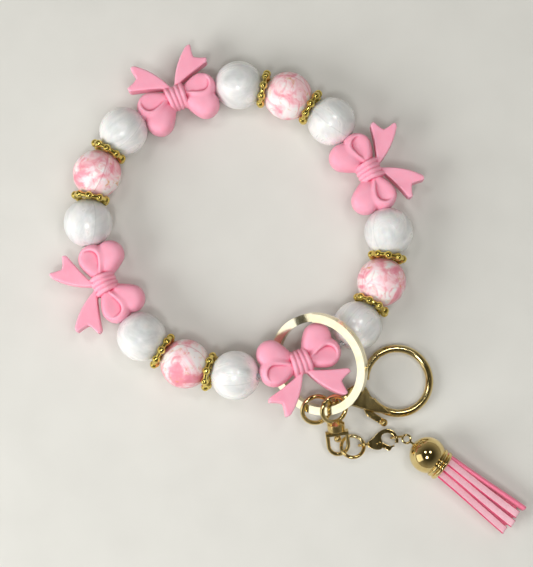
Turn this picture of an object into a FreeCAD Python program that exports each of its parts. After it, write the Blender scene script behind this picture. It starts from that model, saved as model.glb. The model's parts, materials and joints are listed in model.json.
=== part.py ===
import FreeCAD, Part
import math
import os

V = FreeCAD.Vector

# A beaded wristlet keychain lying on a table: a closed loop of silicone beads on an elastic
# cord, a tilted split ring threaded on that cord, and on the ring a large swivel clasp and a
# swivel connector that carries a small clasp and a tassel. Millimetres, z up.

SIZES = {
    # the loop of beads
    "bead_diameter": 14.9,
    "bead_length": 14.4,
    "hole_diameter": 2.2,
    "cord_diameter": 1.0,
    "cord_bend": 5.0,
    "bow_pitch": 24.2,
    "bead_pitch": 15.85,
    "ring_gap": 1.6,
    "loop_oval": 0.03,
    "loop_oval_turn": 145.0,
    "lifted_before": 12.2,
    "lifted_after": 10.2,
    "slid_bow": 0.3,
    # the spacers
    "spacer_ball": 2.5,
    "spacer_circle": 4.85,
    "spacer_rim": 1.3,
    "spacer_web": 0.5,
    "spacer_bore": 3.2,
    "spacer_shift": 0.85,
    # the bow beads
    "lobe_thickness": 9.4,
    "tail_thickness": 4.6,
    "knot_thickness": 8.6,
    # the split ring
    "split_outer": 31.5,
    "split_band": 2.5,
    "split_turn": 1.15,
    "split_gap": 0.1,
    "split_tilt": 34.5,
    "split_turned": 34.3,
    # the large clasp
    "hook_inner": 17.5,
    "hook_wire": 2.6,
    "hook_land": 0.2,
    "cheek_thickness": 4.0,
    "slot_thickness": 2.1,
    "lever_thickness": 1.0,
    "rivet_shaft": 1.4,
    "rivet_head": 2.8,
    "tail_diameter": 4.2,
    "eye_wire": 1.4,
    "clasp_eye_inner": 7.4,
    # the connector
    "connector_eye_inner": 6.6,
    "connector_base": 5.4,
    "yoke_width": 7.2,
    "yoke_wire": 1.25,
    "jump_outer": 8.0,
    "jump_wire": 1.1,
    # the small clasp, the link and the tassel
    "small_thickness": 1.8,
    "small_eye_outer": 3.8,
    "link_outer": 4.4,
    "loop_outer": 3.2,
    "link_wire": 0.7,
    "cap_ball": 11.0,
    "cap_rim": 9.6,
    "fringe_length": 27.0,
    "fringe_thickness": 4.6,
}

doc = FreeCAD.newDocument("wristlet_keychain")
sheet = doc.addObject("Spreadsheet::Sheet", "Sizes")
for row, (alias, value) in enumerate(SIZES.items(), start=1):
    sheet.set(f"A{row}", alias)
    sheet.set(f"B{row}", str(value))
    sheet.setAlias(f"B{row}", alias)
doc.recompute()

PARTS = {}


def size(alias):
    """The value of a driving dimension, read from the sheet."""
    return float(getattr(sheet, alias))


def frame_at(origin, x_axis, z_axis=V(0, 0, 1)):
    """A placement at origin whose x runs along x_axis and whose z stays near z_axis."""
    x = V(x_axis).normalize()
    y = V(z_axis).cross(x).normalize()
    return FreeCAD.Placement(V(origin), FreeCAD.Rotation(x, y, x.cross(y), "XZY"))


def along_x(x=0.0, y=0.0, z=0.0):
    """A placement that lays a cylinder or a torus axis along x."""
    return FreeCAD.Placement(V(x, y, z), FreeCAD.Rotation(V(0, 1, 0), 90))


def shifted(x=0.0, y=0.0, z=0.0, axis=V(0, 0, 1), degrees=0.0):
    return FreeCAD.Placement(V(x, y, z), FreeCAD.Rotation(axis, degrees))


def primitive(kind, place=None, **sizes):
    """A Part primitive; a size given as text is an expression on the sheet."""
    made = doc.addObject("Part::" + kind, kind.lower())
    for name, value in sizes.items():
        if isinstance(value, str):
            made.setExpression(name, value)
        else:
            setattr(made, name, value)
    if place is not None:
        made.Placement = place
    return made


def fused(pieces):
    made = doc.addObject("Part::MultiFuse", "fuse")
    made.Shapes = pieces
    return made


def cut(base, tool):
    made = doc.addObject("Part::Cut", "cut")
    made.Base = base
    made.Tool = tool
    return made


def common(pieces):
    made = doc.addObject("Part::MultiCommon", "common")
    made.Shapes = pieces
    return made


def keep(made, name, place):
    """Names a finished sub-part and puts it in its place."""
    made.Label = name
    made.Placement = place
    PARTS[name] = made


def keep_shape(shape, name, place):
    made = doc.addObject("Part::Feature", "shape")
    made.Shape = shape
    keep(made, name, place)


def curve(points, closed=False):
    """A smooth edge through the points."""
    spline = Part.BSplineCurve()
    spline.interpolate([V(*p) for p in points], PeriodicFlag=closed)
    return spline.toShape()


def swept(path, radius):
    """A round wire of that radius along a wire."""
    start = path.Edges[0]
    here = start.valueAt(start.FirstParameter)
    ahead = start.tangentAt(start.FirstParameter)
    ring = Part.Wire(Part.Circle(here, ahead, radius).toShape())
    return path.makePipeShell([ring], True, False)


# ---------------------------------------------------------------- the route of the loop


def oval(angle, radius):
    turn = math.radians(size("loop_oval_turn"))
    return radius * (1 + size("loop_oval") * math.cos(2 * (angle - turn)))


def loop_sides():
    """(what is on it, length) of each straight of the loop, counter-clockwise from the first bow."""
    sides = []
    for quarter in range(4):
        sides.append(("bow_bead", size("bow_pitch")))
        if quarter == RING_QUARTER:
            sides.append(("ring_gap", size("ring_gap")))
        for kind in ("pearl_bead", "marble_bead", "pearl_bead"):
            sides.append((kind, size("bead_pitch")))
    return sides


def walk(radius, sides, start):
    """The corners of the loop on an oval of that mean radius, and the angle that they turn through."""
    angle = start
    angles = [angle]
    for _, length in sides:
        step = length / radius
        for _ in range(6):
            step = 2 * math.asin(length / (2 * oval(angle + step / 2, radius)))
        angle += step
        angles.append(angle)
    return angles


def loop_corners(sides):
    """The corners of the loop, on the oval on which it just closes."""
    low, high = 30.0, 60.0
    for _ in range(60):
        radius = (low + high) / 2
        angles = walk(radius, sides, FIRST_CORNER)
        if angles[-1] - angles[0] > 2 * math.pi:
            low = radius
        else:
            high = radius
    rest = size("bead_diameter") / 2
    corners = []
    for angle in angles[:-1]:
        r = oval(angle, radius)
        corners.append(V(r * math.cos(angle), r * math.sin(angle), rest) + LOOP_CENTRE)
    return corners


RING_QUARTER = 3
FIRST_CORNER = math.radians(8.6)
LOOP_CENTRE = V(-0.2, 0, 0)
SIDES = loop_sides()
CORNERS = loop_corners(SIDES)
LIFTED = [i for i, (kind, _) in enumerate(SIDES) if kind == "ring_gap"][0] - 1
CORNERS[LIFTED].z = size("lifted_before")
CORNERS[LIFTED + 1].z = size("lifted_after")
CORNERS[LIFTED + 2].z = size("lifted_after")


def side_ends(index):
    return CORNERS[index], CORNERS[(index + 1) % len(CORNERS)]


def bead_frame(index):
    """The frame of a bead: x along its hole, y towards the middle of the loop."""
    start, end = side_ends(index)
    slid = size("slid_bow") if index == LIFTED else 0.0
    return frame_at((start + end) * 0.5, end - start).multiply(shifted(x=slid))


# ---------------------------------------------------------------- the loop's pieces


def elastic_cord():
    """Straight through each bead, with a small bend in each gap, and tied beside the ring."""
    bend = size("cord_bend")
    count = len(CORNERS)
    edges = []
    marks = []
    for i, corner in enumerate(CORNERS):
        back = (CORNERS[i - 1] - corner).normalize()
        ahead = (CORNERS[(i + 1) % count] - corner).normalize()
        half = back.getAngle(ahead) / 2
        inner = (back + ahead).normalize()
        reach = bend / math.tan(half)
        middle = corner + inner * (bend / math.sin(half) - bend)
        marks.append((corner + back * reach, middle, corner + ahead * reach))
    for i, (first, middle, last) in enumerate(marks):
        edges.append(Part.Arc(first, middle, last).toShape())
        edges.append(Part.makeLine(last, marks[(i + 1) % count][0]))
    radius = size("cord_diameter") / 2
    half_way = len(edges) // 2
    halves = [swept(Part.Wire(run), radius) for run in (edges[:half_way], edges[half_way:])]
    knot = Part.makeSphere(0.9, (CORNERS[LIFTED + 1] + CORNERS[LIFTED + 2]) * 0.5)
    cord = halves[0].fuse([halves[1], knot])
    keep_shape(cord, "elastic_cord", FreeCAD.Placement())


def round_bead(name, index):
    ball = primitive("Sphere", Radius="Sizes.bead_diameter / 2")
    slab = primitive("Cylinder", Radius="Sizes.bead_diameter", Height="Sizes.bead_length")
    slab.setExpression("Placement.Base.z", "-Sizes.bead_length / 2")
    bore = primitive("Cylinder", Radius="Sizes.hole_diameter / 2", Height="2 * Sizes.bead_length")
    bore.setExpression("Placement.Base.z", "-Sizes.bead_length")
    bead = cut(common([ball, slab]), bore)
    keep(bead, name, bead_frame(index).multiply(along_x()))


def spacer(name, corner):
    """Nine balls round a thin dished web, on the bisector between two round beads."""
    before, here, after = CORNERS[corner - 1], CORNERS[corner], CORNERS[(corner + 1) % len(CORNERS)]
    onward, back = (after - here).normalize(), (before - here).normalize()
    turned = FreeCAD.Rotation(onward - back, onward + back, V(), "XYZ")
    place = FreeCAD.Placement(here, turned)
    place = place.multiply(shifted(y=size("spacer_shift"))).multiply(along_x())
    pieces = []
    for ball in range(9):
        turn = math.radians(40 * ball + 20)
        seam_outward = shifted(degrees=40 * ball + 20)
        made = primitive("Sphere", seam_outward, Radius="Sizes.spacer_ball / 2")
        made.setExpression("Placement.Base.x", f"Sizes.spacer_circle * {math.cos(turn):.6f}")
        made.setExpression("Placement.Base.y", f"Sizes.spacer_circle * {math.sin(turn):.6f}")
        pieces.append(made)
    web = primitive("Cylinder", Radius="Sizes.spacer_circle", Height="Sizes.spacer_web")
    web.setExpression("Placement.Base.z", "-Sizes.spacer_web / 2")
    bore = primitive("Cylinder", Radius="Sizes.spacer_bore / 2", Height=6.0, place=shifted(z=-3))
    rim = primitive("Torus", Radius1="Sizes.spacer_circle", Radius2="Sizes.spacer_rim / 2")
    keep(cut(fused(pieces + [rim, web]), bore), name, place)


def domed(outline, thickness, centre, radius):
    """An outline extruded and rounded off by two large spheres, one over each face."""
    face = Part.Face(Part.Wire(outline))
    slab = face.extrude(V(0, 0, 2 * thickness))
    slab.translate(V(0, 0, -thickness))
    for side in (1, -1):
        ball = Part.makeSphere(radius, V(centre[0], centre[1], side * (thickness / 2 - radius)))
        slab = slab.common(ball)
    return slab


def half_bow():
    """One lobe pair and one tail: x out along the hole, y towards the outside of the loop."""
    dimple = [(2.0, 1.2), (5.6, 3.6), (9.8, 3.8), (12.0, 1.8), (12.1, 0.4), (11.2, -2.6), (6.6, -3.0), (2.0, -0.9)]
    plain = [(1.6, -1.0), (6.5, -1.0), (11.0, -3.4), (11.4, -6.6), (9.2, -9.4), (6.4, -9.2), (3.2, -5.8)]
    lobe = domed([curve([(x, y, 0) for x, y in dimple], True)], size("lobe_thickness"), (7.6, 0.4), 9.5)
    loop = domed([curve([(x, y, 0) for x, y in plain], True)], size("lobe_thickness") - 0.8, (6.6, -4.6), 9.5)
    tail_edge = [
        curve([(0.6, 2.4, 0), (4.6, 4.4, 0), (8.6, 6.0, 0), (12.4, 7.2, 0)]),
        Part.makeLine(V(12.4, 7.2, 0), V(12.3, 8.2, 0)),
        curve([(12.3, 8.2, 0), (9.4, 9.4, 0), (9.2, 12.7, 0)]),
        Part.makeLine(V(9.2, 12.7, 0), V(8.3, 12.6, 0)),
        curve([(8.3, 12.6, 0), (5.4, 10.6, 0), (2.4, 7.0, 0), (0.0, 3.2, 0)]),
        Part.makeLine(V(0.0, 3.2, 0), V(0.6, 2.4, 0)),
    ]
    thickness = size("tail_thickness")
    tail = Part.Face(Part.Wire(tail_edge)).extrude(V(0, 0, thickness))
    tail.translate(V(0, 0, -thickness / 2))
    half = lobe.fuse([loop, tail])
    for side in (1, -1):
        dent = Part.makeSphere(4.4, V(8.0, 0.3, side * (size("lobe_thickness") / 2 + 2.9)))
        half = half.cut(dent)
    return half


def bow_bead(name, index):
    """A moulded bow, the same on both faces, on a hole straight through its knot."""
    right = half_bow()
    left = right.mirror(V(0, 0, 0), V(1, 0, 0))
    knot = Part.makeCylinder(3.0, 7.8, V(0, -3.9, 0), V(0, 1, 0))
    knot = knot.transformGeometry(FreeCAD.Matrix(1, 0, 0, 0, 0, 1, 0, 0, 0, 0, size("knot_thickness") / 6, 0))
    bow = knot.fuse([right, left])
    pitch = size("bow_pitch")
    bow = bow.cut(Part.makeCylinder(size("hole_diameter") / 2, 2 * pitch, V(-pitch, 0, 0), V(1, 0, 0)))
    outwards = bead_frame(index).multiply(shifted(axis=V(1, 0, 0), degrees=180))
    keep_shape(bow, name, outwards)


# ---------------------------------------------------------------- the split ring

SPLIT_CENTRE = V(24.1, -41.7, 0)
SPLIT_END = 88.0
SPLIT_RAMP = 30.0


def split_frame():
    """z is the axis of the ring and x runs uphill in its plane."""
    tilt, turn = math.radians(size("split_tilt")), math.radians(size("split_turned"))
    uphill = V(math.cos(turn) * math.cos(tilt), math.sin(turn) * math.cos(tilt), math.sin(tilt))
    half = size("split_turn") + size("split_gap") / 2
    height = size("split_outer") / 2 * math.sin(tilt) + half * math.cos(tilt)
    return frame_at(SPLIT_CENTRE + V(0, 0, height), uphill)


def on_band(azimuth):
    """The middle of the band at that azimuth seen from above, the way along it and the way out of it."""
    place = split_frame()
    seen = V(math.cos(math.radians(azimuth)), math.sin(math.radians(azimuth)), 0)
    up = place.Rotation.multVec(V(0, 0, 1))
    seen.z = -(seen.x * up.x + seen.y * up.y) / up.z
    out = seen.normalize()
    mean = (size("split_outer") - size("split_band")) / 2
    return place.Base + out * mean, up.cross(out), out


def split_ring():
    """Two touching turns of flat band, joined by a ramp, with a free end above and one below."""
    outer = size("split_outer") / 2
    inner = outer - size("split_band")
    rise = size("split_turn") + size("split_gap")
    place = split_frame()
    end = math.radians(SPLIT_END)
    level = place.Rotation.inverted().multVec(V(math.cos(end), math.sin(end), 0))
    end_angle = math.degrees(math.atan2(level.y, level.x))
    lower = -rise + size("split_gap") / 2

    def turn(start, sweep, bottom):
        ring = Part.makeCylinder(outer, size("split_turn"), V(0, 0, bottom), V(0, 0, 1), sweep)
        ring = ring.cut(Part.makeCylinder(inner, 4, V(0, 0, bottom - 1), V(0, 0, 1)))
        ring.rotate(V(0, 0, 0), V(0, 0, 1), start)
        return ring

    def section(angle, bottom):
        a = math.radians(angle)
        across = V(math.cos(a), math.sin(a), 0)
        low, high = V(0, 0, bottom), V(0, 0, bottom + size("split_turn"))
        return Part.makePolygon([across * inner + low, across * outer + low, across * outer + high,
                                 across * inner + high, across * inner + low])

    steps = 6
    ramp = []
    for i in range(steps + 1):
        eased = (1 - math.cos(math.pi * i / steps)) / 2
        ramp.append(section(end_angle + SPLIT_RAMP * i / steps, lower + rise * eased))
    ramp = Part.makeLoft(ramp, True, False)
    below = turn(end_angle + SPLIT_RAMP + 1.5, 358.5 - SPLIT_RAMP, lower)
    above = turn(end_angle + SPLIT_RAMP, 359 - SPLIT_RAMP, lower + rise)
    keep_shape(below.fuse([ramp, above]), "split_ring", place)


# ---------------------------------------------------------------- the large clasp

HOOK_CENTRE = V(48.5, -46.3, 2.15)
EYE_HANGS = V(0, 0, -0.3)
CLASP_EYE_AZIMUTH = -92.0
PIVOT = V(-12.2, 0.8, 0)
ARC_END = V(-9.5, 4.0, 0)
ELBOW = V(-11.6, -6.4, 0)
THUMB = V(-8.3, -10.6, 0)
TAIL_END = -21.2
HEAD_AT = -20.1


def clasp_frame():
    """Origin in the middle of the hook, x pointing away from the swivel."""
    band, _, _ = on_band(CLASP_EYE_AZIMUTH)
    return frame_at(HOOK_CENTRE, HOOK_CENTRE - band - EYE_HANGS)


def clasp_eye_offset():
    band, _, _ = on_band(CLASP_EYE_AZIMUTH)
    return (HOOK_CENTRE - band - EYE_HANGS).Length


SEAM = V(-3.53, 9.2, 0)
SEAM_NORMAL = 48.7


def hook_arc(start, sweep, radius):
    """A round bar bent round the opening, with a flat land on its inside."""
    middle = "Sizes.hook_inner / 2 - Sizes.hook_land + Sizes.hook_wire / 2"
    arc = primitive("Torus", Radius1=middle, Radius2=radius)
    arc.Angle3 = sweep
    arc.Placement = shifted(degrees=start)
    opening = primitive("Cylinder", place=shifted(z=-3), Radius="Sizes.hook_inner / 2", Height=6.0)
    return cut(arc, opening)


def beside_seam(start, end):
    """A block on one side of the slanted seam, along which the gate's tip slides inwards."""
    width = 4.8
    height = 6.0
    place = shifted(SEAM.x, SEAM.y, -height / 2, degrees=SEAM_NORMAL).multiply(shifted(start, -width / 2))
    return primitive("Box", place=place, Length=end - start, Width=width, Height=height)


def clasp_body():
    """A round hook that grows from a fan-shaped pair of cheeks, and a tail that holds the swivel."""
    ring = cut(hook_arc(196, 278, "Sizes.hook_wire / 2"), beside_seam(-3.0, 0.15))
    points = [(-5.6, -8.9), (-10.6, -6.2), (-15.6, -2.6), (-19.0, -1.9), (-19.0, 1.9), (-15.0, 2.9),
              (-12.4, 3.3), (-10.4, 2.2), (-9.9, 0.8), (-9.6, -1.5), (-8.6, -3.6), (-7.2, -6.0), (-5.6, -8.9)]
    wire = Part.makePolygon([V(x, y, 0) for x, y in points])
    fan = doc.addObject("Part::Feature", "fan_outline")
    fan.Shape = Part.Face(wire)
    cheeks = doc.addObject("Part::Extrusion", "cheeks")
    cheeks.Base = fan
    cheeks.DirMode = "Custom"
    cheeks.Dir = V(0, 0, 1)
    cheeks.Solid = True
    cheeks.Symmetric = True
    cheeks.setExpression("LengthFwd", "Sizes.cheek_thickness")
    slot = primitive("Box", place=shifted(-16.4, -12), Length=8.4, Width=24.0, Height="Sizes.slot_thickness")
    slot.setExpression("Placement.Base.z", "-Sizes.slot_thickness / 2")
    pin_hole = primitive("Cylinder", Radius="Sizes.rivet_shaft / 2", Height=8.0)
    pin_hole.Placement = shifted(PIVOT.x, PIVOT.y, -4)
    cheeks = cut(cheeks, fused([slot, pin_hole]))
    tail = primitive("Cylinder", place=along_x(TAIL_END), Radius="Sizes.tail_diameter / 2", Height=4.6)
    window = primitive("Box", place=shifted(-20.6, -1.65, -6), Length=2.2, Width=3.3, Height=12.0)
    stem_hole = primitive("Cylinder", place=along_x(TAIL_END - 1), Radius="Sizes.eye_wire / 2 + 0.3", Height=2.0)
    body = cut(fused([ring, cheeks, tail]), fused([window, stem_hole]))
    keep(body, "clasp_body", clasp_frame())


def clasp_gate():
    """The arc that closes the hook, its hub on the rivet, and the thumb lever on the other side."""
    arc = cut(hook_arc(106, 53, "Sizes.hook_wire / 2 - 0.1"), beside_seam(0.0, 3.0))
    plate = [primitive("Cylinder", place=shifted(PIVOT.x, PIVOT.y), Radius=2.2, Height="Sizes.lever_thickness")]
    for start, end in ((PIVOT, ARC_END), (PIVOT, ELBOW), (ELBOW, THUMB)):
        way = end - start
        angle = math.degrees(math.atan2(way.y, way.x))
        place = shifted(start.x, start.y, degrees=angle).multiply(shifted(y=-1.0))
        plate.append(primitive("Box", place=place, Length=way.Length, Width=2.0, Height="Sizes.lever_thickness"))
    plate.append(primitive("Cylinder", place=shifted(ELBOW.x, ELBOW.y), Radius=1.0, Height="Sizes.lever_thickness"))
    for piece in plate:
        piece.setExpression("Placement.Base.z", "-Sizes.slot_thickness / 2 + 0.12")
    thumb = primitive("Sphere", place=shifted(THUMB.x, THUMB.y, -0.2), Radius=1.2)
    hole = primitive("Cylinder", place=shifted(PIVOT.x, PIVOT.y, -4), Radius="Sizes.rivet_shaft / 2 + 0.2", Height=8.0)
    keep(cut(fused([arc, thumb] + plate), hole), "clasp_gate", clasp_frame())


def rivet(name, place, grip, shaft, head):
    """A short pin with a low round head on each side of what it holds."""
    pin = primitive("Cylinder", place=shifted(z=-grip / 2), Radius=shaft, Height=grip)
    pieces = [pin]
    for side in (1, -1):
        cap = primitive("Cone", Radius1=head, Radius2="Sizes.rivet_shaft / 2", Height=0.4)
        cap.Placement = shifted(z=side * grip / 2, axis=V(1, 0, 0), degrees=0 if side > 0 else 180)
        pieces.append(cap)
    keep(fused(pieces), name, place)


def hairpin_spring(name, place, radius, wire, leg):
    """A bent wire spring arched over a rivet, beside the lever in its slot."""
    arch = Part.makeTorus(radius, wire, V(0, 0, 0), V(0, 0, 1), 0, 360, 180)
    legs = [Part.makeCylinder(wire, leg, V(side * radius, 0, 0), V(0, -1, 0)) for side in (-1, 1)]
    keep_shape(arch.fuse(legs).removeSplitter(), name, place)


def clasp_swivel_eye():
    """The eye round the split ring, with a stem that ends in a head inside the tail's window."""
    centre = -clasp_eye_offset()
    wire = "Sizes.eye_wire / 2"
    ring = primitive("Torus", Radius1="(Sizes.clasp_eye_inner + Sizes.eye_wire) / 2", Radius2=wire)
    ring.Placement = shifted(x=centre)
    start = centre + (size("clasp_eye_inner") + size("eye_wire")) / 2
    stem = primitive("Cylinder", place=along_x(start), Radius=wire, Height=HEAD_AT - start)
    head = primitive("Cylinder", place=along_x(HEAD_AT - 0.2), Radius=1.35, Height=1.0)
    place = clasp_frame().multiply(shifted(axis=V(1, 0, 0), degrees=CLASP_EYE_ROLL))
    keep(fused([ring, stem, head]), "clasp_swivel_eye", place)


CLASP_EYE_ROLL = 29.0

# ---------------------------------------------------------------- the connector

CONNECTOR_LIFT = V(0, 0, 0.5)
CONNECTOR_AZIMUTH = -70.8
CONNECTOR_HEADING = -82.0
CONNECTOR_SLOPE = -23.0
CONNECTOR_ROLL = -22.0
BASE_LENGTH = 2.6
YOKE_AT = 7.2


def connector_frame():
    """Origin in the middle of the band, x running down to the yoke."""
    middle, _, _ = on_band(CONNECTOR_AZIMUTH)
    heading, slope = math.radians(CONNECTOR_HEADING), math.radians(CONNECTOR_SLOPE)
    level = V(math.cos(heading), math.sin(heading), 0) * math.cos(slope)
    return frame_at(middle + CONNECTOR_LIFT, level + V(0, 0, math.sin(slope)))


def connector_eye():
    """The eye round the split ring, with a round base that the yoke turns against."""
    wire = "Sizes.eye_wire / 2"
    ring = primitive("Torus", Radius1="(Sizes.connector_eye_inner + Sizes.eye_wire) / 2", Radius2=wire)
    ring.Placement = shifted(axis=V(1, 0, 0), degrees=CONNECTOR_ROLL)
    neck = primitive("Cone", place=along_x(3.6), Radius1=1.0, Radius2="Sizes.connector_base / 2", Height=1.0)
    base = primitive("Cylinder", place=along_x(4.6), Radius="Sizes.connector_base / 2", Height=BASE_LENGTH - 0.4)
    bore = primitive("Cylinder", place=along_x(5.2), Radius="Sizes.rivet_shaft / 2", Height=4.0)
    keep(cut(fused([ring, neck, base]), bore), "connector_eye", connector_frame())


def connector_pin():
    """The headed pin pressed into the base, on which the yoke turns."""
    shaft = primitive("Cylinder", place=along_x(5.2), Radius="Sizes.rivet_shaft / 2", Height=4.0)
    head = primitive("Sphere", place=shifted(x=9.6), Radius=1.15)
    keep(fused([shaft, head]), "connector_pin", connector_frame())


def connector_yoke():
    """A cross plate with a hole for the pin, and a round bail bent in a U."""
    half = size("yoke_width") / 2
    wire = size("yoke_wire") / 2
    arm = half - wire
    plate = primitive("Box", place=shifted(YOKE_AT, -half + 0.1, -1.3), Length=1.1, Width=2 * half - 0.2, Height=2.6)
    hole = primitive("Cylinder", place=along_x(YOKE_AT - 1), Radius="Sizes.rivet_shaft / 2 + 0.25", Height=4.0)
    bend_at = YOKE_AT + 0.6 + 3.9
    arms = [primitive("Cylinder", place=along_x(YOKE_AT + 0.5, side * arm), Radius="Sizes.yoke_wire / 2",
                      Height=bend_at - YOKE_AT - 0.5) for side in (1, -1)]
    bend = primitive("Torus", Radius1="(Sizes.yoke_width - Sizes.yoke_wire) / 2", Radius2="Sizes.yoke_wire / 2")
    bend.Angle3 = 180
    bend.Placement = shifted(x=bend_at, degrees=-90)
    keep(cut(fused([plate, bend] + arms), hole), "connector_yoke", connector_frame())


# ---------------------------------------------------------------- the small clasp and the tassel

JUMP_CENTRE = V(34.6, -66.3, 3.0)
JUMP_RISE = 20.0
SMALL_EYE = V(38.0, -65.8, 2.75)
SMALL_HEADING = 8.0
LINK_AT = 10.4
CAP_CENTRE = V(56.5, -68.3, 5.5)
FRINGE_END = V(82.0, -87.0, 2.5)


def jump_frame():
    """z is the axis of the jump ring."""
    rise = math.radians(JUMP_RISE)
    return frame_at(JUMP_CENTRE, V(0, -math.cos(rise), math.sin(rise)))


def jump_ring():
    ring = primitive("Torus", Radius1="(Sizes.jump_outer - Sizes.jump_wire) / 2", Radius2="Sizes.jump_wire / 2")
    keep(ring, "jump_ring", jump_frame())


def small_frame():
    """Origin in the middle of the small clasp's eye, x towards its tip."""
    heading = math.radians(SMALL_HEADING)
    return frame_at(SMALL_EYE, V(math.cos(heading), math.sin(heading), 0))


SMALL_PIVOT = V(4.6, -0.6, 0)


def small_clasp_body():
    """A claw whose open side is closed by the gate, and an eye that stands across it."""
    claw = [
        curve([(1.2, 0.7, 0), (3.4, 2.0, 0), (5.4, 3.4, 0), (7.4, 3.9, 0), (9.4, 3.0, 0), (10.5, 1.2, 0)]),
        curve([(10.5, 1.2, 0), (10.7, 0.0, 0), (10.4, -0.9, 0)]),
        Part.makeLine(V(10.4, -0.9, 0), V(9.5, -0.6, 0)),
        curve([(9.5, -0.6, 0), (9.6, 0.9, 0), (8.6, 2.2, 0), (7.3, 2.6, 0), (5.9, 2.1, 0), (5.5, 1.2, 0)]),
        curve([(5.5, 1.2, 0), (5.7, -0.6, 0), (5.2, -1.9, 0), (3.6, -2.0, 0), (1.2, -0.7, 0)]),
        Part.makeLine(V(1.2, -0.7, 0), V(1.2, 0.7, 0)),
    ]
    thickness = size("small_thickness")
    plate = Part.Face(Part.Wire(claw)).extrude(V(0, 0, thickness))
    plate.translate(V(0, 0, -thickness / 2))
    slot = Part.makeBox(3.4, 6.0, 1.2, V(3.2, -5.0, -0.6))
    radius = size("small_eye_outer") / 2 - 0.45
    eye = Part.makeTorus(radius, 0.45, V(0, 0, 0), V(0, 1, 0))
    hole = Part.makeCylinder(0.45, 4, V(SMALL_PIVOT.x, SMALL_PIVOT.y, -2))
    keep_shape(plate.cut([slot, hole]).fuse(eye), "small_clasp_body", small_frame())


def small_clasp_gate():
    """The gate bar from the pivot to the claw's tip, with its thumb bump."""
    bar = [
        curve([(3.9, -0.9, 0), (5.0, 0.2, 0), (7.0, -0.9, 0), (9.2, -1.1, 0)]),
        Part.makeLine(V(9.2, -1.1, 0), V(9.3, -1.9, 0)),
        curve([(9.3, -1.9, 0), (8.2, -2.3, 0), (7.5, -2.9, 0), (6.8, -2.4, 0), (5.2, -1.6, 0), (3.9, -0.9, 0)]),
    ]
    plate = Part.Face(Part.Wire(bar)).extrude(V(0, 0, 0.6))
    plate.translate(V(0, 0, -0.48))
    hole = Part.makeCylinder(0.55, 4, V(SMALL_PIVOT.x, SMALL_PIVOT.y, -2))
    keep_shape(plate.cut(hole), "small_clasp_gate", small_frame())


def link_ring():
    """A small ring through the claw, standing across it."""
    ring = primitive("Torus", Radius1="(Sizes.link_outer - Sizes.link_wire) / 2", Radius2="Sizes.link_wire / 2")
    place = small_frame().multiply(shifted(LINK_AT, 0.9, 0, axis=V(1, 0, 0), degrees=90))
    keep(ring, "link_ring", place)


def cap_frame():
    """Origin in the middle of the cap's ball, x towards the fringe."""
    return frame_at(CAP_CENTRE, FRINGE_END - CAP_CENTRE)


def tassel_cap():
    """A round cap turned in one piece, hollow where the fringe is glued in, with two ridges at its rim."""
    body = doc.addObject("PartDesign::Body", "cap")
    sketch = body.newObject("Sketcher::SketchObject", "cap_profile")
    plane = [f for f in body.Origin.OriginFeatures if f.Role == "XZ_Plane"][0]
    sketch.AttachmentSupport = [(plane, "")]
    sketch.MapMode = "FlatFace"
    ball = size("cap_ball") / 2
    rim = size("cap_rim") / 2
    wall = 1.0
    edge = V(2.9, math.sqrt(ball ** 2 - 2.9 ** 2), 0)
    profile = [(edge.x, edge.y), (3.3, rim - 0.5), (3.8, rim), (4.3, rim - 0.4), (5.1, rim), (6.0, rim - 0.2),
               (6.0, rim - wall), (3.2, rim - wall), (3.2, 0), (-4.4, 0), (-4.4, 0.4),
               (-math.sqrt(ball ** 2 - 0.16), 0.4)]
    points = [V(x, y, 0) for x, y in profile]
    for first, last in zip(points, points[1:]):
        sketch.addGeometry(Part.LineSegment(first, last), False)
    top = V(-1.0, math.sqrt(ball ** 2 - 1.0), 0)
    sketch.addGeometry(Part.Arc(points[-1], top, points[0]), False)
    turned = body.newObject("PartDesign::Revolution", "cap_turned")
    turned.Profile = sketch
    turned.ReferenceAxis = (sketch, ["H_Axis"])
    turned.Angle = 360
    doc.recompute()
    keep(body, "tassel_cap", cap_frame())


def tassel_loop():
    """The eye on a short stem screwed into the top of the cap."""
    ring = primitive("Torus", Radius1="(Sizes.loop_outer - Sizes.link_wire) / 2", Radius2="Sizes.link_wire / 2")
    ring.Placement = shifted(x=-7.2)
    stem = primitive("Cylinder", place=along_x(-5.75), Radius=0.4, Height=1.35)
    keep(fused([ring, stem]), "tassel_loop", cap_frame())


def tassel_fringe():
    """The bundle of soft strips, held in the cap and spreading out to its flat cut end."""
    length = size("fringe_length")
    thick = size("fringe_thickness")
    sections = []
    for x, half_width, half_depth in ((3.4, 3.4, 3.0), (6.2, 3.5, 3.1), (12.0, 4.3, thick / 2),
                                      (24.0, 4.9, thick / 2), (5.9 + length, 5.2, thick / 2 - 0.4)):
        ring = Part.Ellipse(V(0, 0, 0), max(half_width, half_depth), min(half_width, half_depth)).toShape()
        wire = Part.Wire(ring)
        wire.Placement = FreeCAD.Placement(V(x, 0, 0), FreeCAD.Rotation(V(0, 1, 0), V(0, 0, 1), V(1, 0, 0), "ZXY"))
        sections.append(wire)
    keep_shape(Part.makeLoft(sections, True, False), "tassel_fringe", cap_frame())


# ---------------------------------------------------------------- put together


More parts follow.
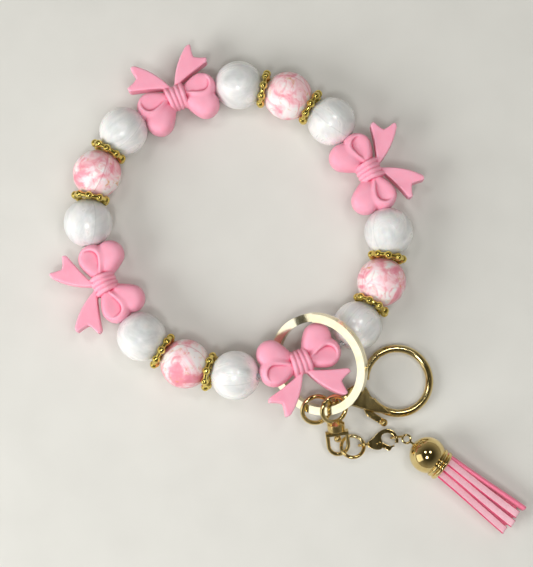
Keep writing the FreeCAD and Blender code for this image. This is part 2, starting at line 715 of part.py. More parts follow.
def build():
    elastic_cord()
    counts = {}
    for index, (kind, _) in enumerate(SIDES):
        if kind == "ring_gap":
            continue
        counts[kind] = counts.get(kind, 0) + 1
        name = f"{kind}_{counts[kind]}"
        if kind == "bow_bead":
            bow_bead(name, index)
        else:
            round_bead(name, index)
    corners = [i for i, (kind, _) in enumerate(SIDES) if kind == "marble_bead"]
    for number, marble in enumerate(corners):
        spacer(f"spacer_{2 * number + 1}", marble)
        spacer(f"spacer_{2 * number + 2}", marble + 1)
    split_ring()
    clasp_body()
    clasp_gate()
    pin = clasp_frame().multiply(shifted(PIVOT.x, PIVOT.y))
    rivet("clasp_rivet", pin, size("cheek_thickness"), "Sizes.rivet_shaft / 2", "Sizes.rivet_head / 2")
    spring_at = clasp_frame().multiply(shifted(PIVOT.x, PIVOT.y, 0.3))
    hairpin_spring("clasp_spring", spring_at, 1.5, 0.15, 0.9)
    clasp_swivel_eye()
    connector_eye()
    connector_pin()
    connector_yoke()
    jump_ring()
    small_clasp_body()
    small_clasp_gate()
    small_pin = small_frame().multiply(shifted(SMALL_PIVOT.x, SMALL_PIVOT.y))
    rivet("small_clasp_rivet", small_pin, size("small_thickness"), 0.45, 0.8)
    spring_at = small_frame().multiply(shifted(SMALL_PIVOT.x, SMALL_PIVOT.y, 0.29))
    hairpin_spring("small_clasp_spring", spring_at, 0.75, 0.08, 0.45)
    link_ring()
    tassel_cap()
    tassel_loop()
    tassel_fringe()
    doc.recompute()


def centre_all():
    """Moves everything so that the origin is under the middle of the whole piece."""
    box = FreeCAD.BoundBox()
    for made in PARTS.values():
        box.add(made.Shape.optimalBoundingBox())
    move = V(-box.Center.x, -box.Center.y, -box.ZMin)
    for made in PARTS.values():
        made.Placement = FreeCAD.Placement(move, FreeCAD.Rotation()).multiply(made.Placement)
    doc.recompute()
    return move


def write_all():
    os.makedirs("parts", exist_ok=True)
    for name, made in PARTS.items():
        if any(state in ("Invalid", "Error") for state in made.State):
            raise ValueError(f"{name} has the state {made.State}")
        if made.Shape.isNull() or not made.Shape.isValid():
            raise ValueError(f"{name} has no valid shape")
        made.Shape.exportStep(f"parts/{name}.step")


build()
MOVE = centre_all()
write_all()
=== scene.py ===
import json
import math
import random

import bmesh
import bpy
import numpy as np
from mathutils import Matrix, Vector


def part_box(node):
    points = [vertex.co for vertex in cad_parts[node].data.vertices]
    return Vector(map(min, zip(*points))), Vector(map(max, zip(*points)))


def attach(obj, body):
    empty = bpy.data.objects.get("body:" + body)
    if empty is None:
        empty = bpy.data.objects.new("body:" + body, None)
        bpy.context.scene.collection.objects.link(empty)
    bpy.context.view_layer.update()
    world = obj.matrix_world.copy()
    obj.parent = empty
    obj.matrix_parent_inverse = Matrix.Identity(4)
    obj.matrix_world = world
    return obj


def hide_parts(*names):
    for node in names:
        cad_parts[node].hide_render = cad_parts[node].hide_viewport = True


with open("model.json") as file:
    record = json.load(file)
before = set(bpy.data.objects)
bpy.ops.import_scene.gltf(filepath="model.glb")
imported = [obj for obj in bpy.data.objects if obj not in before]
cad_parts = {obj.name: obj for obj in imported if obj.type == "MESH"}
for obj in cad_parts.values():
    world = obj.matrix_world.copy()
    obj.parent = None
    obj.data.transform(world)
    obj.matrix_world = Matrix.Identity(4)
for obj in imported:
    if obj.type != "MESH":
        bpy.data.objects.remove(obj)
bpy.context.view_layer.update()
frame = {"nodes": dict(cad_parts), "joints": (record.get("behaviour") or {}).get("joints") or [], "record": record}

import openvdb
from mathutils import Matrix, Vector

MM = 0.001
RECORD = frame["record"]
JOINTS = {joint["name"]: joint for joint in frame["joints"]}
MOUNTS = {mount["name"]: mount for mount in RECORD["mounts"]}
LOOP_MIDDLE = Vector(MOUNTS["wrist_loop"]["pos_m"])
BEAD_RADIUS = 7.45
BEAD_HALF = 7.2
HOLE_RADIUS = 1.1


# ---------------------------------------------------------------- materials


class Nodes:
    """A material's node tree, with short calls for the nodes used here."""

    def __init__(self, name, pattern=False, **sockets):
        self.material = bpy.data.materials.new(name)
        self.material.use_nodes = True
        self.tree = self.material.node_tree
        self.shader = self.tree.nodes["Principled BSDF"]
        if pattern:
            place = self.tree.nodes.new("ShaderNodeAttribute")
            place.attribute_name = "pattern"
            self.coords = place.outputs["Vector"]
        else:
            self.coords = self.tree.nodes.new("ShaderNodeTexCoord").outputs["Object"]
        for socket, value in sockets.items():
            self.shader.inputs[socket.replace("_", " ")].default_value = value

    def link(self, source, target):
        if isinstance(target, str):
            target = self.shader.inputs[target]
        self.tree.links.new(source, target)

    def feed(self, node, index, value):
        if isinstance(value, bpy.types.NodeSocket):
            self.tree.links.new(value, node.inputs[index])
        else:
            node.inputs[index].default_value = value

    def noise(self, scale, detail=3.0, rough=0.5, warp=0.0, at=None):
        node = self.tree.nodes.new("ShaderNodeTexNoise")
        node.inputs["Scale"].default_value = scale
        node.inputs["Detail"].default_value = detail
        node.inputs["Roughness"].default_value = rough
        node.inputs["Distortion"].default_value = warp
        self.tree.links.new(at or self.coords, node.inputs["Vector"])
        return node.outputs["Fac"]

    def stretched(self, factors, offset=0.0):
        node = self.tree.nodes.new("ShaderNodeMapping")
        node.inputs["Scale"].default_value = factors
        node.inputs["Location"].default_value = (offset, offset, offset)
        self.tree.links.new(self.coords, node.inputs["Vector"])
        return node.outputs["Vector"]

    def ramp(self, value, *stops):
        node = self.tree.nodes.new("ShaderNodeValToRGB")
        band = node.color_ramp
        while len(band.elements) < len(stops):
            band.elements.new(0.5)
        for element, (place, colour) in zip(band.elements, stops):
            element.position = place
            element.color = (*colour, 1) if isinstance(colour, tuple) else (colour, colour, colour, 1)
        self.tree.links.new(value, node.inputs["Fac"])
        return node.outputs["Color"]

    def mix(self, factor, first, second, how="MIX"):
        node = self.tree.nodes.new("ShaderNodeMix")
        node.data_type = "RGBA"
        node.blend_type = how
        for index, value in ((0, factor), (6, first), (7, second)):
            if isinstance(value, tuple):
                value = (*value, 1)
            self.feed(node, index, value)
        return node.outputs[2]

    def attribute(self, name):
        node = self.tree.nodes.new("ShaderNodeAttribute")
        node.attribute_name = name
        return node.outputs["Fac"]

    def bump(self, height, distance, strength=1.0):
        node = self.tree.nodes.new("ShaderNodeBump")
        node.inputs["Distance"].default_value = distance
        node.inputs["Strength"].default_value = strength
        self.tree.links.new(height, node.inputs["Height"])
        self.tree.links.new(node.outputs["Normal"], self.shader.inputs["Normal"])


def linear(code):
    """A colour written as RRGGBB, as linear light."""
    parts = [int(code[i:i + 2], 16) / 255 for i in (0, 2, 4)]
    return tuple(((c + 0.055) / 1.055) ** 2.4 if c > 0.04 else c / 12.92 for c in parts)


def pink_silicone():
    n = Nodes("pink_silicone", Roughness=0.5, Subsurface_Weight=0.22, Subsurface_Scale=0.0022, Coat_Weight=0.12)
    n.shader.inputs["Subsurface Radius"].default_value = (1.0, 0.25, 0.3)
    n.shader.inputs["Coat Roughness"].default_value = 0.35
    cloud = n.noise(160, 3)
    body = n.ramp(cloud, (0.3, linear("EF9BB2")), (0.7, linear("F4A9BE")))
    # painted shade: hollows and creases of the bow are darkened towards deep pink
    crease_shade = n.ramp(n.attribute("hollow"), (0.05, 0.0), (0.65, 1.0))
    colour = n.mix(crease_shade, body, linear("D8496E"))
    # painted highlight: proud edges and ridges are lightened towards pale pink
    edge_highlight = n.ramp(n.attribute("edge"), (0.2, 0.0), (0.9, 0.45))
    n.link(n.mix(edge_highlight, colour, linear("FBCBD8")), "Base Color")
    n.link(n.ramp(n.noise(500, 4), (0.3, 0.44), (0.7, 0.58)), "Roughness")
    n.bump(n.noise(2600, 2), 0.00001)
    return n.material


def pearl_silicone():
    n = Nodes("pearl_silicone", True, Roughness=0.32, Subsurface_Weight=0.12, Subsurface_Scale=0.0015,
              Coat_Weight=0.45)
    n.shader.inputs["Coat Roughness"].default_value = 0.22
    n.shader.inputs["Sheen Weight"].default_value = 0.12
    streaks = n.noise(95, 5, 0.55, 2.2, n.stretched((0.35, 1.0, 1.0)))
    fine = n.noise(260, 4, 0.6, 1.2, n.stretched((0.3, 1.0, 1.0), 0.2))
    base = n.ramp(streaks, (0.32, linear("C4C6C5")), (0.47, linear("D8D9D8")), (0.58, linear("E9E8E6")),
                  (0.72, linear("F8F8F6")))
    colour = n.mix(n.ramp(fine, (0.45, 0.0), (0.75, 0.3)), base, linear("FBFBFA"))
    seam = n.ramp(n.attribute("seam"), (0.3, 0.0), (1.0, 0.30))
    n.link(n.mix(seam, colour, linear("A9ABAB")), "Base Color")
    n.link(n.ramp(streaks, (0.35, 0.44), (0.65, 0.24)), "Roughness")
    n.link(n.ramp(streaks, (0.4, 0.0), (0.7, 0.16)), "Metallic")
    n.bump(fine, 0.00003, 0.6)
    return n.material


def marble_silicone():
    n = Nodes("marble_silicone", True, Roughness=0.4, Subsurface_Weight=0.15, Subsurface_Scale=0.0015,
              Coat_Weight=0.3)
    n.shader.inputs["Coat Roughness"].default_value = 0.28
    patches = n.noise(130, 4, 0.6, 1.1)
    veins = n.noise(220, 5, 0.6, 2.0, n.stretched((1.0, 0.7, 1.0), 0.13))
    flecks = n.noise(330, 3, 0.55, 1.4, n.stretched((1.0, 1.0, 0.8), 0.31))
    base = n.ramp(patches, (0.40, linear("F1EBEA")), (0.50, linear("F6D3D8")), (0.60, linear("EB99A8")),
                  (0.74, linear("DE7D90")))
    blushed = n.mix(n.ramp(veins, (0.54, 0.0), (0.66, 0.75)), base, linear("E58C99"))
    gold = n.mix(n.ramp(flecks, (0.60, 0.0), (0.72, 0.8)), blushed, linear("DB9A55"))
    seam = n.ramp(n.attribute("seam"), (0.3, 0.0), (1.0, 0.45))
    n.link(n.mix(seam, gold, linear("C9586F")), "Base Color")
    n.link(n.ramp(patches, (0.3, 0.34), (0.7, 0.46)), "Roughness")
    n.bump(veins, 0.00002, 0.5)
    return n.material


def plated(name, light, deep, roughness, scratch=0.3):
    """Gold plating with faint cloudiness and handling marks."""
    n = Nodes(name, Metallic=1.0)
    cloud = n.noise(140, 4, 0.6, 0.6)
    n.link(n.ramp(cloud, (0.3, linear(deep)), (0.7, linear(light))), "Base Color")
    marks = n.noise(900, 5, 0.7, 0.2, n.stretched((1.0, 0.12, 1.0)))
    n.link(n.ramp(marks, (0.35, roughness), (0.75, roughness + 0.10)), "Roughness")
    n.bump(marks, 0.00002, scratch)
    return n.material


def clear_elastic():
    n = Nodes("clear_elastic", Roughness=0.25, Transmission_Weight=0.6, IOR=1.42)
    n.link(n.ramp(n.noise(400, 3), (0.3, linear("DDDDDD")), (0.7, linear("F4F4F4"))), "Base Color")
    n.bump(n.noise(1500, 3, 0.5, 0.0, n.stretched((1, 1, 0.2))), 0.00003)
    return n.material


def spring_steel():
    n = Nodes("spring_steel", Metallic=1.0)
    n.link(n.ramp(n.noise(500, 4), (0.3, linear("8A8780")), (0.7, linear("C0BCB2"))), "Base Color")
    n.link(n.ramp(n.noise(1200, 4), (0.3, 0.25), (0.7, 0.42)), "Roughness")
    n.bump(n.noise(2500, 3), 0.00001)
    return n.material


def suede(name, face, shade, cut_edge_and_groove_shade):
    """Short-napped suede: speckled colour, soft sheen, fibres in the bump, and cut sides in a deeper pink, partly
    their own colour and partly painted shade of the grooves between strips.
    """
    n = Nodes(name, Roughness=0.92, Sheen_Weight=0.55, Sheen_Roughness=0.45)
    n.shader.inputs["Specular IOR Level"].default_value = 0.15
    n.shader.inputs["Sheen Tint"].default_value = (*linear("FFE1E8"), 1)
    nap = n.noise(2600, 4, 0.7)
    broad = n.noise(420, 3, 0.6)
    colour = n.ramp(nap, (0.30, linear(shade)), (0.62, linear(face)))
    clouded = n.mix(n.ramp(broad, (0.35, 0.0), (0.8, 0.35)), colour, linear(shade))
    # partly painted shade: the strips' cut sides take a deeper pink, for the cut edges' own colour and for the
    # shade in the grooves between strips
    cut = n.ramp(n.attribute("cut"), (0.35, 0.0), (0.85, 1.0))
    n.link(n.mix(cut, clouded, linear(cut_edge_and_groove_shade)), "Base Color")
    n.bump(nap, 0.00012, 0.8)
    return n.material


def floor_material():
    n = Nodes("floor", Roughness=0.85)
    n.link(n.ramp(n.noise(60, 2), (0.3, linear("D3D2CC")), (0.7, linear("D7D6D0"))), "Base Color")
    n.bump(n.noise(900, 3), 0.00003, 0.3)
    return n.material


PINK = pink_silicone()
PEARL = pearl_silicone()
MARBLE = marble_silicone()
SPACER_GOLD = plated("spacer_gold", "F0DC82", "D9BE5A", 0.09)
PALE_GOLD = plated("pale_gold", "F7F0D6", "EBDFB8", 0.12)
CLASP_GOLD = plated("clasp_gold", "F0DDA6", "DABB74", 0.09)
CAP_GOLD = plated("cap_gold", "F0DDA4", "DDC07C", 0.06, 0.15)
ELASTIC = clear_elastic()
STEEL = spring_steel()
SUEDE = suede("pink_suede", "FBCFD9", "F4B4C3", "D23A66")
# painted shade: a darker copy of the pink suede for strips lying under or beside the others, showing in the gaps
SUEDE_SHADED = suede("shaded_suede", "F08BA4", "DC5A7C", "EC7F9A")


# ---------------------------------------------------------------- meshes


def made(name, points, faces):
    """A mesh from points in millimetres, with its faces turned outwards."""
    mesh = bpy.data.meshes.new(name)
    mesh.from_pydata([tuple(c * MM for c in point) for point in points], [], faces)
    turn_outwards(mesh)
    return mesh


def turn_outwards(mesh):
    work = bmesh.new()
    work.from_mesh(mesh)
    bmesh.ops.recalc_face_normals(work, faces=work.faces)
    work.to_mesh(mesh)
    work.free()


def placed(name, mesh, matrix, material, body):
    """A smooth-shaded piece that rides on a body and takes the given material, unless its mesh has one already."""
    for face in mesh.polygons:
        face.use_smooth = True
    if not mesh.materials:
        mesh.materials.append(material)
    piece = bpy.data.objects.new(name, mesh)
    bpy.context.collection.objects.link(piece)
    piece.matrix_world = matrix
    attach(piece, body)
    return piece


def hole_matrix(joint):
    """On a bead: x along its hole, y towards the outside of the loop, z up."""
    place = Vector(joint["pos_m"])
    along = Vector(joint["axis"]).normalized()
    up = Vector((0, 0, 1))
    up = (up - along * up.dot(along)).normalized()
    outward = up.cross(along)
    if outward.dot(place - LOOP_MIDDLE) < 0:
        along, outward = -along, -outward
    turn = Matrix((along, outward, up)).transposed().to_4x4()
    return Matrix.Translation(place) @ turn


def give(mesh, name, values):
    layer = mesh.attributes.new(name, "FLOAT", "POINT")
    layer.data.foreach_set("value", np.asarray(values, np.float32))


# ---- signed distances, in millimetres


def lobe(x, y, z, start, end, r_start, r_end):
    """A rounded lobe that swells from its start, at the knot, to its blunt end."""
    dx, dy = end[0] - start[0], end[1] - start[1]
    along = (x - start[0]) * dx + (y - start[1]) * dy
    t = np.clip(along / (dx * dx + dy * dy), 0, 1)
    swell = 1 - (1 - t) ** 1.5
    gap = np.sqrt((x - start[0] - t * dx) ** 2 + (y - start[1] - t * dy) ** 2 + z ** 2)
    return gap - (r_start + (r_end - r_start) * swell)


def polygon(x, y, corners):
    """The distance to a closed outline in the plane, negative inside."""
    squared = np.full(x.shape, 1e9)
    inside = np.zeros(x.shape, bool)
    for (ax, ay), (bx, by) in zip(corners, corners[1:] + corners[:1]):
        ex, ey = bx - ax, by - ay
        wx, wy = x - ax, y - ay
        t = np.clip((wx * ex + wy * ey) / (ex * ex + ey * ey), 0, 1)
        squared = np.minimum(squared, (wx - ex * t) ** 2 + (wy - ey * t) ** 2)
        crosses = (ay > y) != (by > y)
        level = ex * (y - ay) / (ey if ey else 1e-9) + ax
        inside ^= crosses & (x < level)
    distance = np.sqrt(squared)
    return np.where(inside, -distance, distance)


def join(a, b, soft):
    """The union of two shapes, with a fillet of about the given size."""
    h = np.clip(0.5 + 0.5 * (b - a) / soft, 0, 1)
    return b + (a - b) * h - soft * h * (1 - h)


def carve(a, b, soft):
    """Shape a less shape b, with a softened edge."""
    return -join(-a, b, soft)


def arc_points(start, control, end, steps):
    """Points of a plain curve between two corners of an outline, without its start."""
    t = np.arange(1, steps + 1) / steps
    start, control, end = (np.array(point) for point in (start, control, end))
    return [tuple((1 - u) ** 2 * start + 2 * u * (1 - u) * control + u * u * end) for u in t]


def bow_distance(x, y, z):
    """One moulded bow: x along the hole, y towards the tails, the same on both faces."""
    x, z = np.abs(x), np.abs(z)
    plain = lobe(x, y, z * 0.72, (2.4, -1.5), (7.5, -5.3), 1.75, 4.35)
    plain = carve(plain, 4.45 - z, 1.6)
    dimpled = lobe(x, y, z * 0.66, (3.0, 0.55), (8.3, -0.05), 2.3, 4.6)
    dimpled = carve(dimpled, 4.75 - z, 1.6)
    # the recess: its floor falls towards the inner side, so that side has the steeper wall
    tear = lobe(x, y, 0 * z, (3.2, 1.05), (8.35, 0.75), 0.6, 2.5)
    floor = 3.7 + 0.2 * (y - 0.6) + 0.03 * np.maximum(6.0 - x, 0) ** 2
    dimpled = carve(dimpled, np.maximum(tear, floor - z), 0.9)
    lobes = join(plain, dimpled, 0.55)
    edge = [(0.3, 2.6)]
    edge += arc_points(edge[-1], (5.2, 5.0), (12.5, 6.7), 6)
    edge += arc_points(edge[-1], (13.1, 7.0), (13.1, 8.1), 3)
    edge += arc_points(edge[-1], (10.4, 8.9), (9.5, 9.8), 4)
    edge += arc_points(edge[-1], (9.4, 11.0), (10.0, 13.5), 4)
    edge += arc_points(edge[-1], (9.6, 14.3), (8.4, 13.7), 3)
    edge += arc_points(edge[-1], (3.4, 10.0), (0.6, 3.4), 6)
    flat = polygon(x, y, edge) + 0.5
    crown = 2.35 + 0.28 * np.clip((y - 3) / 8, 0, 1)
    depth = z - crown + 0.5
    outside = np.sqrt(np.maximum(flat, 0) ** 2 + np.maximum(depth, 0) ** 2)
    tail = np.minimum(np.maximum(flat, depth), 0) + outside - 0.5
    shape = join(lobes, tail, 0.35)
    # the knot: a core and four bands wrapped round it, a little wider towards the tails
    wide = 1 + 0.10 * y / 4
    oval = (np.sqrt((y / 4.0) ** 2 + (z / 4.95) ** 2) - 1) * 4.0
    core = np.maximum(np.abs(x) / wide - 2.3, oval + 0.7)
    knot = core
    for band in (0.72, 2.12):
        off = x / wide - band
        knot = join(knot, np.sqrt(off ** 2 + np.maximum(oval + 0.78, 0) ** 2) - 0.78, 0.3)
    shape = join(shape, knot, 0.3)
    bore = np.sqrt(y ** 2 + z ** 2) - HOLE_RADIUS
    return carve(shape, bore, 0.3)


def relief(mesh):
    """How hollow and how proud each point is, from the mesh's own curvature."""
    count = len(mesh.vertices)
    points = np.empty(count * 3)
    mesh.vertices.foreach_get("co", points)
    points = points.reshape(-1, 3)
    normals = np.empty(count * 3)
    mesh.vertices.foreach_get("normal", normals)
    normals = normals.reshape(-1, 3)
    edges = np.empty(len(mesh.edges) * 2, int)
    mesh.edges.foreach_get("vertices", edges)
    a, b = edges.reshape(-1, 2).T
    degree = np.bincount(a, minlength=count) + np.bincount(b, minlength=count)

    def averaged(values):
        total = np.zeros(values.shape)
        np.add.at(total, a, values[b])
        np.add.at(total, b, values[a])
        return total / degree[:, None]

    smooth = points
    for _ in range(14):
        smooth = averaged(smooth)
    rise = np.sum((smooth - points) * normals, axis=1)[:, None]
    for _ in range(2):
        rise = averaged(rise)
    rise = rise[:, 0] / MM
    # these masks carry the pink silicone's painted shade in hollows and painted highlight on proud edges
    give(mesh, "hollow", np.clip(rise / 0.30, 0, 1))
    give(mesh, "edge", np.clip(-rise / 0.30, 0, 1))


def bow_mesh():
    """The bow, drawn as a distance field and turned into a mesh of quads."""
    step = 0.19
    low = np.array((-14.6, -10.9, -5.7))
    size = np.ceil((np.array((14.6, 15.2, 5.7)) - low) / step).astype(int) + 1
    xs, ys, zs = (low[i] + step * np.arange(size[i]) for i in range(3))
    x, y, z = np.meshgrid(xs, ys, zs, indexing="ij")
    field = bow_distance(x, y, z)
    grid = openvdb.FloatGrid(3 * step)
    grid.copyFromArray(np.clip(field, -3 * step, 3 * step).astype(np.float32))
    grid.transform = openvdb.createLinearTransform(voxelSize=step)
    points, quads = grid.convertToQuads(isovalue=0.0)
    mesh = bpy.data.meshes.new("bow")
    mesh.from_pydata((points + low) * MM, [], quads.tolist())
    mesh.validate()
    tidy = bmesh.new()
    tidy.from_mesh(mesh)
    bmesh.ops.recalc_face_normals(tidy, faces=tidy.faces)
    bmesh.ops.smooth_vert(tidy, verts=tidy.verts, factor=0.4, use_axis_x=True, use_axis_y=True, use_axis_z=True)
    tidy.to_mesh(mesh)
    tidy.free()
    relief(mesh)
    return mesh


def make_bows():
    mesh = bow_mesh()
    for node in sorted(name for name in frame["nodes"] if name.startswith("bow_bead")):
        matrix = hole_matrix(JOINTS[node + "_spin"])
        piece = placed(node + "_moulded", mesh, matrix, PINK, node)
        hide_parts(node)


def bead_mesh(name, seed):
    """A moulded ball on a hole: small flats, rounded hole edges, and a fine parting line."""
    flat = math.sqrt(BEAD_RADIUS ** 2 - BEAD_HALF ** 2)
    start = math.asin(flat / BEAD_RADIUS)
    profile = [(0.0, HOLE_RADIUS), (BEAD_HALF * 0.6, HOLE_RADIUS), (BEAD_HALF - 0.25, HOLE_RADIUS)]
    profile += [(BEAD_HALF - 0.07, HOLE_RADIUS + 0.07), (BEAD_HALF, HOLE_RADIUS + 0.25)]
    profile.append((BEAD_HALF, flat - 0.15))
    steps = 40
    for i in range(steps + 1):
        angle = start + (math.pi / 2 - start) * i / steps
        profile.append((BEAD_RADIUS * math.cos(angle), BEAD_RADIUS * math.sin(angle)))
    ring = profile + [(-x, r) for x, r in reversed(profile[1:-1])]
    turns = 144
    draw = random.Random(seed)
    shift = [draw.uniform(-1, 1) for _ in range(3)]
    points, seams = [], []
    line = 0.03
    for turn in range(turns):
        # the points crowd together at the parting line, which runs round through both holes
        share = turn / turns
        phi = 2 * math.pi * share - 0.42 * math.sin(4 * math.pi * share)
        near = math.exp(-(math.sin(phi) / 0.035) ** 2)
        for x, r in ring:
            outside = r > flat
            lift = line * near * outside + draw.uniform(-0.002, 0.002) * outside
            points.append((x, (r + lift) * math.cos(phi), (r + lift) * math.sin(phi)))
            seams.append(near * outside)
    count = len(ring)
    faces = []
    for turn in range(turns):
        for i in range(count):
            a = turn * count + i
            b = turn * count + (i + 1) % count
            c = (turn + 1) % turns * count + (i + 1) % count
            d = (turn + 1) % turns * count + i
            faces.append((a, b, c, d))
    mesh = made(name, points, faces)
    give(mesh, "seam", seams)
    pattern = mesh.attributes.new("pattern", "FLOAT_VECTOR", "POINT")
    pattern.data.foreach_set("vector", [c * MM + s for point in points for c, s in zip(point, shift)])
    return mesh


def make_round_beads():
    """Each round bead is turned about its hole by a different angle, and its pattern is its own."""
    draw = random.Random(11)
    for node in sorted(name for name in frame["nodes"] if name.startswith(("pearl", "marble"))):
        pearl = node.startswith("pearl")
        mesh = bead_mesh(node, draw.random())
        spin = Matrix.Rotation(draw.uniform(0.35, 1.3) * draw.choice((-1, 1)), 4, "X")
        matrix = hole_matrix(JOINTS[node + "_spin"]) @ spin
        material = PEARL if pearl else MARBLE
        piece = placed(node + "_moulded", mesh, matrix, material, node)
        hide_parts(node)


def centre(node):
    low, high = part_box(node)
    return (Vector(low) + Vector(high)) / 2


def strip_mesh(path, width, thick, seed):
    """A strip of suede along a path of (along, across, up, tilt): square cut, with soft long edges."""
    draw = random.Random(seed)
    soft = thick * 0.28
    corner = [(math.cos(math.radians(a)) * soft, math.sin(math.radians(a)) * soft) for a in (0, 30, 60, 90)]
    outline = []
    for side_y, side_z, turned in ((1, 1, False), (-1, 1, True), (-1, -1, False), (1, -1, True)):
        row = [(side_y * (width / 2 - soft + cy), side_z * (thick / 2 - soft + cz)) for cy, cz in corner]
        outline += row[::-1] if turned else row
    steps = 48
    points = []
    for i in range(steps + 1):
        share = i / steps
        along, across, up, tilt = (a + (b - a) * share for a, b in zip(*path))
        sway = 0.10 * math.sin(5.0 * share + seed)
        for y, z in outline:
            y, z = y + draw.uniform(-0.02, 0.02), z + draw.uniform(-0.02, 0.02)
            points.append((along, across + sway + y * math.cos(tilt) - z * math.sin(tilt),
                           up + y * math.sin(tilt) + z * math.cos(tilt)))
    count = len(outline)
    faces = []
    for i in range(steps):
        for j in range(count):
            after = (j + 1) % count
            faces.append((i * count + j, i * count + after, (i + 1) * count + after, (i + 1) * count + j))
    faces.append(tuple(range(count))[::-1])
    faces.append(tuple(steps * count + j for j in range(count)))
    cuts = [float(abs(y) > width / 2 - soft * 0.6) for _ in range(steps + 1) for y, z in outline]
    return points, faces, cuts


STRIP_WIDTH = 2.4
STRIP_THICKNESS = 1.0
CAP_BALL_AT = -18.15
MOUTH_AT = -14.7
FRINGE = (
    # across, height and tilt in degrees at the cap's mouth, the same at the cut end, length, and whether the strip
    # takes the darker suede, as painted shade for strips lying under or beside the others
    (-2.35, 1.9, -24, -4.15, 0.9, -10, 28.6, False),
    (-0.15, 2.2, -24, -1.15, 1.2, -6, 29.4, False),
    (2.05, 2.0, -26, 1.75, 1.1, -10, 28.9, False),
    (3.15, 1.0, 50, 4.45, 0.8, 68, 29.6, True),
    (-1.35, 1.0, 0, -2.65, -0.15, 0, 28.0, True),
    (0.95, 1.1, 0, 0.30, -0.05, 0, 28.4, True),
    (2.3, -0.3, 0, 2.95, -0.35, 4, 27.6, True),
    (-2.1, -0.3, 0, -3.5, -0.6, 0, 27.4, False),
    (-0.9, -0.9, 0, -1.4, -1.25, 0, 28.6, True),
    (1.2, -1.3, 0, 1.3, -1.35, 3, 27.9, True),
    (-1.5, -2.2, 0, -2.9, -1.9, 0, 27.2, True),
    (1.3, -2.5, 0, 3.6, -2.0, 0, 28.1, True),
)


def tassel_matrix():
    """Origin in the middle of the fringe, x along the tassel towards its cut end, z up."""
    middle = centre("tassel_fringe")
    axis = (middle - centre("tassel_cap")).normalized()
    side = Vector((0, 0, 1)).cross(axis).normalized()
    turn = Matrix((axis, side, axis.cross(side))).transposed().to_4x4()
    return Matrix.Translation(middle) @ turn


def lathe(name, profile, turns):
    """A closed outline of (x, radius) points turned about x."""
    points = [(x, r * math.cos(2 * math.pi * i / turns), r * math.sin(2 * math.pi * i / turns))
              for i in range(turns) for x, r in profile]
    count = len(profile)
    faces = []
    for i in range(turns):
        for j in range(count):
            after = (j + 1) % count
            nearby = (i + 1) % turns
            faces.append((i * count + j, i * count + after, nearby * count + after, nearby * count + j))
    return made(name, points, faces)


def make_cap():
    """The tassel's cap: a polished ball, two rounded ridges at its rim, and a hollow for the fringe."""
    ball = 5.5
    profile = []
    steps = 60
    for i in range(steps + 1):
        angle = math.radians(4 + (121 - 4) * i / steps)
        profile.append((-ball * math.cos(angle), ball * math.sin(angle)))
    for middle, crest in ((3.85, 4.2), (5.25, 4.25)):
        profile.append((middle - 0.72, crest - 0.16))
        for i in range(9):
            angle = math.radians(-80 + 20 * i)
            profile.append((middle + 0.62 * math.sin(angle), crest + 0.62 * math.cos(angle)))
    profile += [(5.98, 4.15), (5.98, 3.95), (5.9, 3.8), (4.6, 3.75), (3.3, 3.75), (3.2, 3.6), (3.2, 0.4)]
    mesh = lathe("tassel_cap", profile, 160)
    matrix = tassel_matrix() @ Matrix.Translation((CAP_BALL_AT * MM, 0, 0))
    piece = placed("tassel_cap_turned", mesh, matrix, CAP_GOLD, "tassel")
    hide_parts("tassel_cap")


def make_fringe():
    """The strips of the tassel, packed in the cap's mouth and fanned a little at the cut end."""
    matrix = tassel_matrix()
    for index, (across, up, tilt, end_across, end_up, end_tilt, length, deep) in enumerate(FRINGE):
        start = (MOUTH_AT, across, up, math.radians(tilt))
        end = (MOUTH_AT + length, end_across, end_up, math.radians(end_tilt))
        points, faces, cuts = strip_mesh((start, end), STRIP_WIDTH, STRIP_THICKNESS, index)
        name = f"tassel_strip_{index}"
        mesh = made(name, points, faces)
        give(mesh, "cut", cuts)
        # painted shade: the strips lying under or beside the others take the darker suede
        material = SUEDE_SHADED if deep else SUEDE
        placed(name, mesh, matrix, material, "tassel")
        for end_face in mesh.polygons[-2:]:
            end_face.use_smooth = False
    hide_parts("tassel_fringe")


CAST_PARTS = (
    # node, body, voxel and how much its edges are rounded
    ("clasp_body", "clasp", 0.15, 10),
    ("clasp_gate", "clasp_gate", 0.11, 8),
    ("small_clasp_body", "small_clasp", 0.09, 8),
    ("small_clasp_gate", "small_clasp_gate", 0.08, 6),
    ("connector_yoke", "connector_yoke", 0.10, 8),
    ("connector_eye", "connector_eye", 0.10, 8),
)


def make_cast_parts():
    """The die-cast parts with their edges rounded, as plating and polishing leave them."""
    for node, body, voxel, passes in CAST_PARTS:
        mesh = frame["nodes"][node].data.copy()
        mesh.transform(frame["nodes"][node].matrix_world)
        mesh.materials.clear()
        rough = bpy.data.objects.new("rough", mesh)
        bpy.context.collection.objects.link(rough)
        remesh = rough.modifiers.new("remesh", "REMESH")
        remesh.mode = "VOXEL"
        remesh.voxel_size = voxel * MM * 1
        smooth = rough.modifiers.new("smooth", "SMOOTH")
        smooth.factor = 0.5
        smooth.iterations = passes
        bpy.context.view_layer.update()
        seen = rough.evaluated_get(bpy.context.evaluated_depsgraph_get())
        cast = bpy.data.meshes.new_from_object(seen)
        bpy.data.objects.remove(rough)
        piece = placed(node + "_cast", cast, Matrix.Identity(4), CLASP_GOLD, body)
        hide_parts(node)


# ---------------------------------------------------------------- CAD nodes that stay


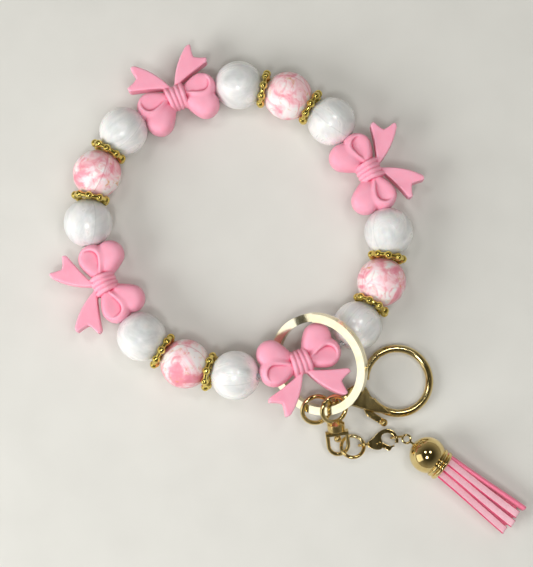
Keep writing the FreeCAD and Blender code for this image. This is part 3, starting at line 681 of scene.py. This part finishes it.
CAD_FINISH = (
    ("elastic_cord", ELASTIC),
    ("spacer", SPACER_GOLD),
    ("split_ring", PALE_GOLD),
    ("clasp_spring", STEEL),
    ("small_clasp_spring", STEEL),
    ("clasp", CLASP_GOLD),
    ("small_clasp", CLASP_GOLD),
    ("connector", CLASP_GOLD),
    ("jump_ring", CLASP_GOLD),
    ("link_ring", CLASP_GOLD),
    ("tassel_loop", CLASP_GOLD),
)


def finish_cad_nodes():
    for name, piece in frame["nodes"].items():
        if piece.hide_render:
            continue
        material = next(finish for start, finish in CAD_FINISH if name.startswith(start))
        piece.data.materials.clear()
        piece.data.materials.append(material)


# ---------------------------------------------------------------- floor, light and camera


def stage():
    bpy.ops.mesh.primitive_plane_add(size=3.0, location=(0, 0, 0))
    floor = bpy.context.object
    floor.name = "floor"
    floor.data.materials.append(floor_material())
    world = bpy.data.worlds.new("studio")
    bpy.context.scene.world = world
    world.use_nodes = True
    tree = world.node_tree
    split = tree.nodes.new("ShaderNodeSeparateXYZ")
    tree.links.new(tree.nodes.new("ShaderNodeTexCoord").outputs["Generated"], split.inputs["Vector"])
    ramp = tree.nodes.new("ShaderNodeValToRGB")
    # a dim ceiling over paler walls, so that polished metal has something dark to show
    for element, (place, colour) in zip(ramp.color_ramp.elements, ((0.15, "C9C4B8"), (0.85, "4C4838"))):
        element.position = place
        element.color = (*linear(colour), 1)
    tree.links.new(split.outputs["Z"], ramp.inputs["Fac"])
    tree.links.new(ramp.outputs["Color"], tree.nodes["Background"].inputs["Color"])
    tree.nodes["Background"].inputs["Strength"].default_value = 0.55
    lamp("fill", (0.25, -0.22, 0.80), 0.55, 2.5, False)
    window = Vector((-0.81, -0.36, 0.47)) * 0.75
    lamp("key", window, 0.42, 4.0, False)
    lamp("window", window * 0.9, 0.48, 0.85, True)
    for index, (x, y, energy) in enumerate(((-0.07, -0.22, 0.75), (0.16, 0.15, 0.35), (-0.20, 0.16, 0.35))):
        lamp(f"spot_{index}", (x, y, 0.62), 0.10, energy, True)


def lamp(name, place, width, energy, glossy):
    light = bpy.data.lights.new(name, "AREA")
    light.size = width
    light.energy = energy
    lit = bpy.data.objects.new(name, light)
    bpy.context.collection.objects.link(lit)
    lit.location = place
    lit.rotation_mode = "QUATERNION"
    lit.rotation_quaternion = (Vector((0, 0, 0.005)) - lit.location).to_track_quat("-Z", "Y")
    lit.visible_glossy = glossy


def camera():
    """From above and a little in front, at about arm's length."""
    elevation = math.radians(83)
    distance = 0.430
    height_seen = 0.1730
    target = Vector((-0.0064, 0.0009, 0.0075))
    data = bpy.data.cameras.new("camera")
    data.sensor_width = 36.0
    data.lens = data.sensor_width * distance / height_seen
    eye = bpy.data.objects.new("camera", data)
    bpy.context.collection.objects.link(eye)
    back = Vector((0, -math.cos(elevation), math.sin(elevation)))
    eye.location = target + back * distance
    eye.rotation_mode = "QUATERNION"
    eye.rotation_quaternion = (-back).to_track_quat("-Z", "Y")
    data.clip_start = 0.01
    bpy.context.scene.camera = eye


make_bows()
make_round_beads()
make_cap()
make_fringe()
make_cast_parts()
finish_cad_nodes()
stage()
camera()
bpy.context.scene.view_settings.view_transform = "Standard"
